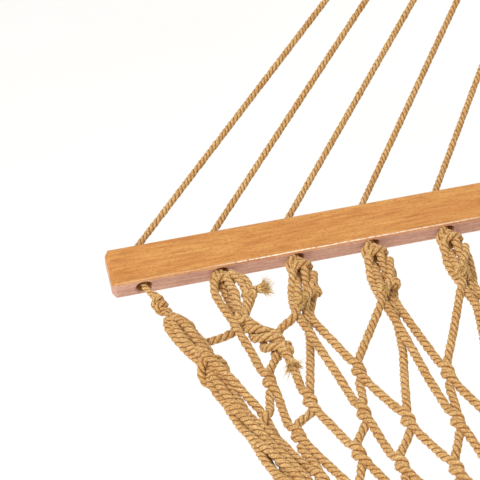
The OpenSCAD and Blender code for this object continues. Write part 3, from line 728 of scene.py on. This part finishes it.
rng = np.random.default_rng(7)
ropes = [(k, leg) for k in range(2, HOLES) for leg in "abcd"
         if not (k == 2 and leg in "ab") and not (k == HOLES - 1 and leg in "cd")]
NET_POINTS = 1261
CORNER_HOLES = 8                        # the ropes of the first holes are finer near the head bar,
CORNER_REACH = (0.42, 0.34)             # this far along the bed: up to the fifth hole, and beyond it
PER_PIECE, PER_CORNER_PIECE = 20, 9     # ropes in one mesh
lines, runs = [], []
for k, leg in ropes:
    rounded = smooth_line(net_rope(k, leg, rng), 0.005, step=0.0009)
    line, length = resample(bed_point(rounded), NET_POINTS)
    lines.append(line)
    runs.append(np.linspace(0, length, NET_POINTS))
lines = np.array(lines)
_, acrosses, ups = frames(lines)

coarse, fine = [], []
for i, (k, leg) in enumerate(ropes):
    cut = 0
    phase = rng.uniform(0, TAU)
    if k <= CORNER_HOLES:
        reach = CORNER_REACH[0 if k < 6 else 1]
        cut = int(np.searchsorted(-lines[i, :, 0], -(BED_HALF - reach))) // 2 * 2
        s = slice(0, cut + 1)
        fine.append(rope_arrays(lines[i, s], acrosses[i, s], ups[i, s], runs[i][s], NET_D, 15, phase=phase))
    s = slice(cut, None, 2)
    coarse.append(rope_arrays(lines[i, s], acrosses[i, s], ups[i, s], runs[i][s], NET_D, 6, phase=phase))


def net_piece(name, parts):
    verts, quads, tris, uv = join(parts)
    place_rope(add_mesh(name, verts, quads, tris, uv, TAN), ["bed_net"])


for n, start in enumerate(range(0, len(coarse), PER_PIECE)):
    net_piece(f"bed_net_{n + 1}", coarse[start:start + PER_PIECE])
for n, start in enumerate(range(0, len(fine), PER_CORNER_PIECE)):
    net_piece(f"bed_net_corner_{n + 1}", fine[start:start + PER_CORNER_PIECE])


# ---------------------------------------------------------------- hitches and stopper knots under the holes
def knot_line(centre, way, tip, big=0.0029, small=0.0017):
    """A tight overhand knot: it lies round the axis tip, and is entered from way."""
    tip = unit(tip)
    way = unit(np.asarray(way, float) - tip * np.dot(way, tip))
    other = np.cross(tip, way)
    a = np.linspace(0.35, 2 * TAU - 0.35, 40)
    r = big + small * np.cos(1.5 * a)
    return (np.asarray(centre) + np.outer(r * np.cos(a), way) + np.outer(r * np.sin(a), other)
            + np.outer(small * np.sin(1.5 * a), tip))


def local_to_bed(points, k, end):
    """(distance from bar, towards higher holes, above bed) in metres, at hole k of one end, to the row frame."""
    p = np.asarray(points, float)
    y = ((HOLES + 1) / 2 - k) * PITCH
    out = bed_point(np.column_stack([p[:, 0], y - p[:, 1], p[:, 2]]))
    return out if end == "head" else other_end(out)


def wrap_line(t0, t1, turns, wide, high, start):
    """A coil along t, wide by high, from the angle start."""
    a = np.linspace(0, turns * TAU, int(16 * turns) + 2)
    return np.column_stack([t0 + (t1 - t0) * a / a[-1], wide * np.cos(a + start), high * np.sin(a + start)])


def mirror_local(points, flip):
    return np.asarray(points) * [1, flip, 1]


# where the stopper knot and the cut end sit on the three hitches nearest the camera, millimetres
NEAR_TAILS = {
    3: [(46.0, 3.0, 8.0), (55.0, -5.0, 10.5)],
    4: [(53.5, 2.8, 8.0), (60.0, -4.5, 11.0)],
    5: [(56.5, -3.5, 8.0), (59.0, -5.0, 15.0)],
}
HITCH_D = 0.0068        # rope of the hitches
FRAY = (0.0110, 0.0065, 0.0055)     # length of a frayed tail, by hole


def hitch(k, end, rng, detail):
    """The fan rope's end outside a hole: a turn and a half round the net's ropes, a stopper knot and a frayed tail."""
    sides, rings = (12, 9) if detail else (6, 5)
    edge = k in (2, HOLES - 1)
    flip = -1 if k == HOLES - 1 else 1
    parts, tails = [], []

    def lay(points, width=0.004, diameter=HITCH_D):
        arrays, line, _ = rope(local_to_bed(mirror_local(points, flip), k, end), diameter, sides, rings, width=width)
        parts.append(arrays)
        return line

    jitter = rng.normal(size=6)
    out = np.array([(-0.012, 0, 0.0005), (-0.003, -0.001, 0.001)])
    if edge:
        turn = wrap_line(0.0065, 0.013, 1.2, 0.0084, 0.0066, 2.6)
        end_at = np.array([0.0310, 0.0170, 0.003])
        tail_to = np.array([0.0295, 0.0250, 0.0042])
        away = [(0.010, 0.012, 0.004), (0.014, 0.0165, 0.0035), (0.022, 0.0190, 0.002)]
    else:
        turn = wrap_line(0.0055, 0.0195, 1.6, 0.0083, 0.0074, 2.2)
        end_at = np.array([0.0510 + 0.003 * jitter[0], 0.0010 + 0.003 * jitter[1], 0.0075])
        tail_to = end_at + np.array([0.0070 + 0.003 * jitter[2], -0.005 + 0.004 * jitter[3],
                                     0.001 + 0.003 * abs(jitter[4])])
        if k in NEAR_TAILS and end == "head":
            end_at, tail_to = np.array(NEAR_TAILS[k]) / 1000
        away = [(0.026, 0.0085, 0.0062), (0.036, 0.0055, 0.0072)]
    axis = unit([0.5 + 0.3 * jitter[5], 0.25 * jitter[0], 0.9])
    knot = knot_line(end_at, (-1, 0.2, 0), axis)
    stub = knot[-1] + np.outer([0.35, 0.7, 1.0], tail_to - knot[-1])
    line = lay(np.concatenate([out, turn, away, knot, stub]), 0.003)
    tails.append((line[-1], line[-1] - line[-4]))
    if edge:
        # a rope back down the open side, a second small knot, then ropes wound together as far as a third
        lay([(0.030, 0.0190, 0.001), (0.039, 0.0165, 0.002), (0.048, 0.0115, 0.0025), (0.058, 0.0060, 0.002)])
        lay([(0.006, 0.006, 0.005), (0.011, 0.0090, 0.006), (0.017, 0.0122, 0.0050), (0.025, 0.0140, 0.0035),
             (0.033, 0.0142, 0.003), (0.042, 0.0118, 0.003), (0.051, 0.0080, 0.0025), (0.059, 0.0050, 0.002)])
        lay([(0.007, 0.001, 0.0055), (0.018, 0.0030, 0.006), (0.030, 0.0058, 0.005), (0.043, 0.0048, 0.004),
             (0.057, 0.0042, 0.002)])
        second = knot_line((0.0600, 0.0038, 0.0045), (-1, 0, 0), (0.2, 0.4, 1), 0.0031, 0.0017)
        lay(second, 0.002)
        start, stop = np.array([0.059, 0.0052, 0.0]), np.array([0.101, 0.0275, 0.0])
        reach = np.linspace(0, 1, 60)
        r = 0.0030 + 0.0042 * reach ** 0.8 * (1 - 0.6 * np.maximum(reach - 0.82, 0) / 0.18)
        over = np.array([0, 0, 1.0])
        across = np.cross(over, unit(stop - start))
        for strand in range(3):
            a = -TAU * (strand / 3 + 1.15 * reach)
            around = np.outer(r * np.cos(a), across) + np.outer(r * np.sin(a), over)
            lay(start + np.outer(reach, stop - start) + around, 0.003, NET_D)
        third = knot_line((0.1010, 0.0300, 0.0045), (-0.3, -1, 0), (0.3, 0.3, 1), 0.0033, 0.0018)
        line = lay(np.concatenate([third, [(0.1085, 0.0305, 0.004), (0.1130, 0.0312, 0.003)]]), 0.002)
        tails.append((line[-1], line[-1] - line[-4]))
    yarns = (130 if edge else 80) if detail else 26
    fray = 0.0115 if edge else FRAY[k % 3]
    radius = 0.0036 if edge else 0.0031
    seed = 100 * k + (7 if end == "head" else 0)
    return parts, [brush(at, way, yarns, fray, 0.9, radius, seed + n) for n, (at, way) in enumerate(tails)]


rng = np.random.default_rng(19)
for end in ("head", "foot"):
    groups = [range(2, 8), range(8, 15), range(15, HOLES)] if end == "head" else [range(2, 12), range(12, HOLES)]
    for n, group in enumerate(groups):
        parts, tails = [], []
        for k in group:
            a, b = hitch(k, end, rng, end == "head" and k <= 8)
            parts += a
            tails += b
        for name, arrays, mat in (("hitch_knots", parts, TAN), ("frayed_ends", tails, CUT)):
            verts, quads, tris, uv = join(arrays)
            place_rope(add_mesh(f"{name}_{end}_{n + 1}", verts, quads, tris, uv, mat), ["bed_hitches_" + end])


# ---------------------------------------------------------------- side bundles
BUNDLE = 7              # ropes: six round one
BUNDLE_START = 0.042
BUNDLE_LAY = 0.24       # length of one turn of the bundle
BUNDLE_WIDE_AT = [0.05, 0.075, 0.103, 0.16, 0.24]
BUNDLE_WIDE = [0.0078, 0.0074, 0.0050, 0.0056, 0.0100]      # half its width there: pinched where it is tied
BUNDLE_HIGH = 0.0062


def bundle_strand(i, side):
    """One of the side bundle's ropes, from its loop at the head bar's side knot to the one at the foot bar."""
    t = np.linspace(BUNDLE_START, BED_T - BUNDLE_START, 700)
    near = np.minimum(t, BED_T - t)
    out = 0.0 if i == BUNDLE - 1 else 1.0
    a = math.radians(60 * i + 10) - TAU * np.clip(t - 0.080, 0, BED_T - 0.16) / BUNDLE_LAY
    opening = 0.30 + 0.70 * np.clip((near - BUNDLE_START) / 0.014, 0, 1) ** 0.7
    wide = np.interp(near, BUNDLE_WIDE_AT, BUNDLE_WIDE) * out * opening * np.cos(a)
    wide = wide + 0.0011 * np.sin(TAU * t / 0.083 + 1.7 * i + side)
    high = BUNDLE_HIGH * out * opening * np.sin(a) + 0.0010 * np.sin(TAU * t / 0.061 + 2.3 * i)
    return np.column_stack([t, side * (side_at(t) - wide), high])


def side_knot(side, name, end):
    """The knot under an end hole, the bundle's loops round it and the ropes hitched slantwise over the bundle."""
    sides, rings = (12, 9) if end == "head" and side > 0 else (9, 6)
    parts = []

    def lay(points, width=0.003, diameter=FAN_D):
        # points are (distance from the bar, inwards from the bundle's own line, up)
        p = np.array(points, float)
        t = p[:, 0]
        y = side * (np.where(t < 0, SIDE_Y, side_at(np.maximum(t, 0))) - p[:, 1])
        out = bed_point(np.column_stack([t, y, p[:, 2]]))
        arrays, _, _ = rope(out if end == "head" else other_end(out), diameter, sides, rings, width=width)
        parts.append(arrays)

    coil = wrap_line(0.0190, 0.0300, 1.9, 0.0042, 0.0040, 0.4)
    lay([(-0.012, 0, 0), (0.0, 0, 0.0005), (0.010, 0.0005, 0.001), (0.033, 0, 0.0005), (0.047, 0, -0.001)], 0.004)
    lay(np.concatenate([[(0.013, 0.001, 0.003)], coil, [(0.038, -0.001, 0.003), (0.047, -0.002, 0)]]), 0.002)
    # loops of the bundle's ropes round the short neck
    a = np.linspace(-0.5 * math.pi, 0.5 * math.pi, 9)
    for low, wide in ((0.0012, 0.0088), (0.0030, 0.0050), (-0.0012, 0.0022)):
        lay(np.column_stack([0.057 - 0.0165 * np.cos(a), wide * np.sin(a), np.full(9, low)]), 0.002, NET_D)
    # ropes hitched slantwise over the bundle, with a small bulge on each side
    lay([(0.114, -0.003, -0.0085), (0.1135, -0.0090, -0.004), (0.1095, -0.0102, 0.003), (0.1045, -0.0060, 0.0088),
         (0.1020, 0.0015, 0.0112), (0.1035, 0.0078, 0.0080), (0.1080, 0.0106, 0.002), (0.1110, 0.0088, -0.004),
         (0.1130, 0.003, -0.0085)], 0.003, NET_D)
    lay([(0.082, -0.0010, 0.0020), (0.090, -0.0030, 0.0080), (0.101, -0.0015, 0.0140), (0.115, 0.0025, 0.0135),
         (0.131, 0.008, 0.0095), (0.146, 0.0125, 0.005), (0.158, 0.0155, 0.002), (0.172, 0.0150, -0.001),
         (0.188, 0.0120, -0.003), (0.204, 0.0080, -0.004)], 0.003, NET_D)
    # the short rope from the edge hitch goes under the bundle
    short = np.array(EDGE_LEGS["a"], float) / 1000
    inward = [(p[0], PITCH + p[1] - (SIDE_Y - float(side_at(p[0]))), p[2]) for p in short]
    lay(np.concatenate([inward, [(0.071, 0.010, -0.009), (0.0714, 0.003, -0.0090), (0.0716, -0.003, -0.0060)]]),
        0.004, NET_D)
    verts, quads, tris, uv = join(parts)
    place_rope(add_mesh(f"side_knot_{name}_{end}", verts, quads, tris, uv, TAN), ["side_knots_" + end])


for side, name in ((1, "left"), (-1, "right")):
    sides, rings = (12, 8) if side > 0 else (9, 6)
    for i in range(BUNDLE):
        arrays, _, _ = rope(bed_point(bundle_strand(i, side)), NET_D, sides, rings, width=0.008)
        strand = add_mesh(f"side_rope_{name}_{i + 1}", *join([arrays]), TAN)
        place_rope(strand, ["side_rope_" + name])
    for end in ("head", "foot"):
        side_knot(side, name, end)


# ---------------------------------------------------------------- floor and light
def floor():
    mat, nodes, links, bsdf = material("studio_floor")
    place = nodes.new("ShaderNodeTexCoord")
    soft = noise(nodes, links, place.outputs["Object"], 1.3, 2.0)
    shade = ramp(nodes, links, soft, [(0.3, colour(247, 246, 244)), (0.7, colour(251, 250, 249))])
    links.new(shade, bsdf.inputs["Base Color"])
    bsdf.inputs["Roughness"].default_value = 0.9
    bsdf.inputs["Specular IOR Level"].default_value = 0.1
    size = 30.0
    verts = np.array([[-size, -size, 0], [size, -size, 0], [size, size, 0], [-size, size, 0]])
    add_mesh("floor", verts, [[0, 1, 2, 3]], material=mat)


def area_light(name, place, target, size, watts, tint=(1, 1, 1)):
    lamp = bpy.data.lights.new(name, "AREA")
    lamp.shape, lamp.size, lamp.energy, lamp.color = "SQUARE", size, watts, tint
    obj = bpy.data.objects.new(name, lamp)
    bpy.context.scene.collection.objects.link(obj)
    obj.location = place
    obj.rotation_euler = (Vector(target) - Vector(place)).to_track_quat("-Z", "Y").to_euler()


floor()
world = bpy.data.worlds.new("studio")
world.use_nodes = True
world.node_tree.nodes["Background"].inputs["Color"].default_value = (1.0, 0.995, 0.985, 1)
world.node_tree.nodes["Background"].inputs["Strength"].default_value = 0.74
bpy.context.scene.world = world
bpy.context.scene.view_settings.view_transform = "Standard"
area_light("key", (-1.6, 3.2, 4.0), (0.4, 0.3, 0.5), 1.6, 150)
area_light("fill", (3.4, -2.6, 3.4), (0.2, 0, 0.5), 3.0, 50)
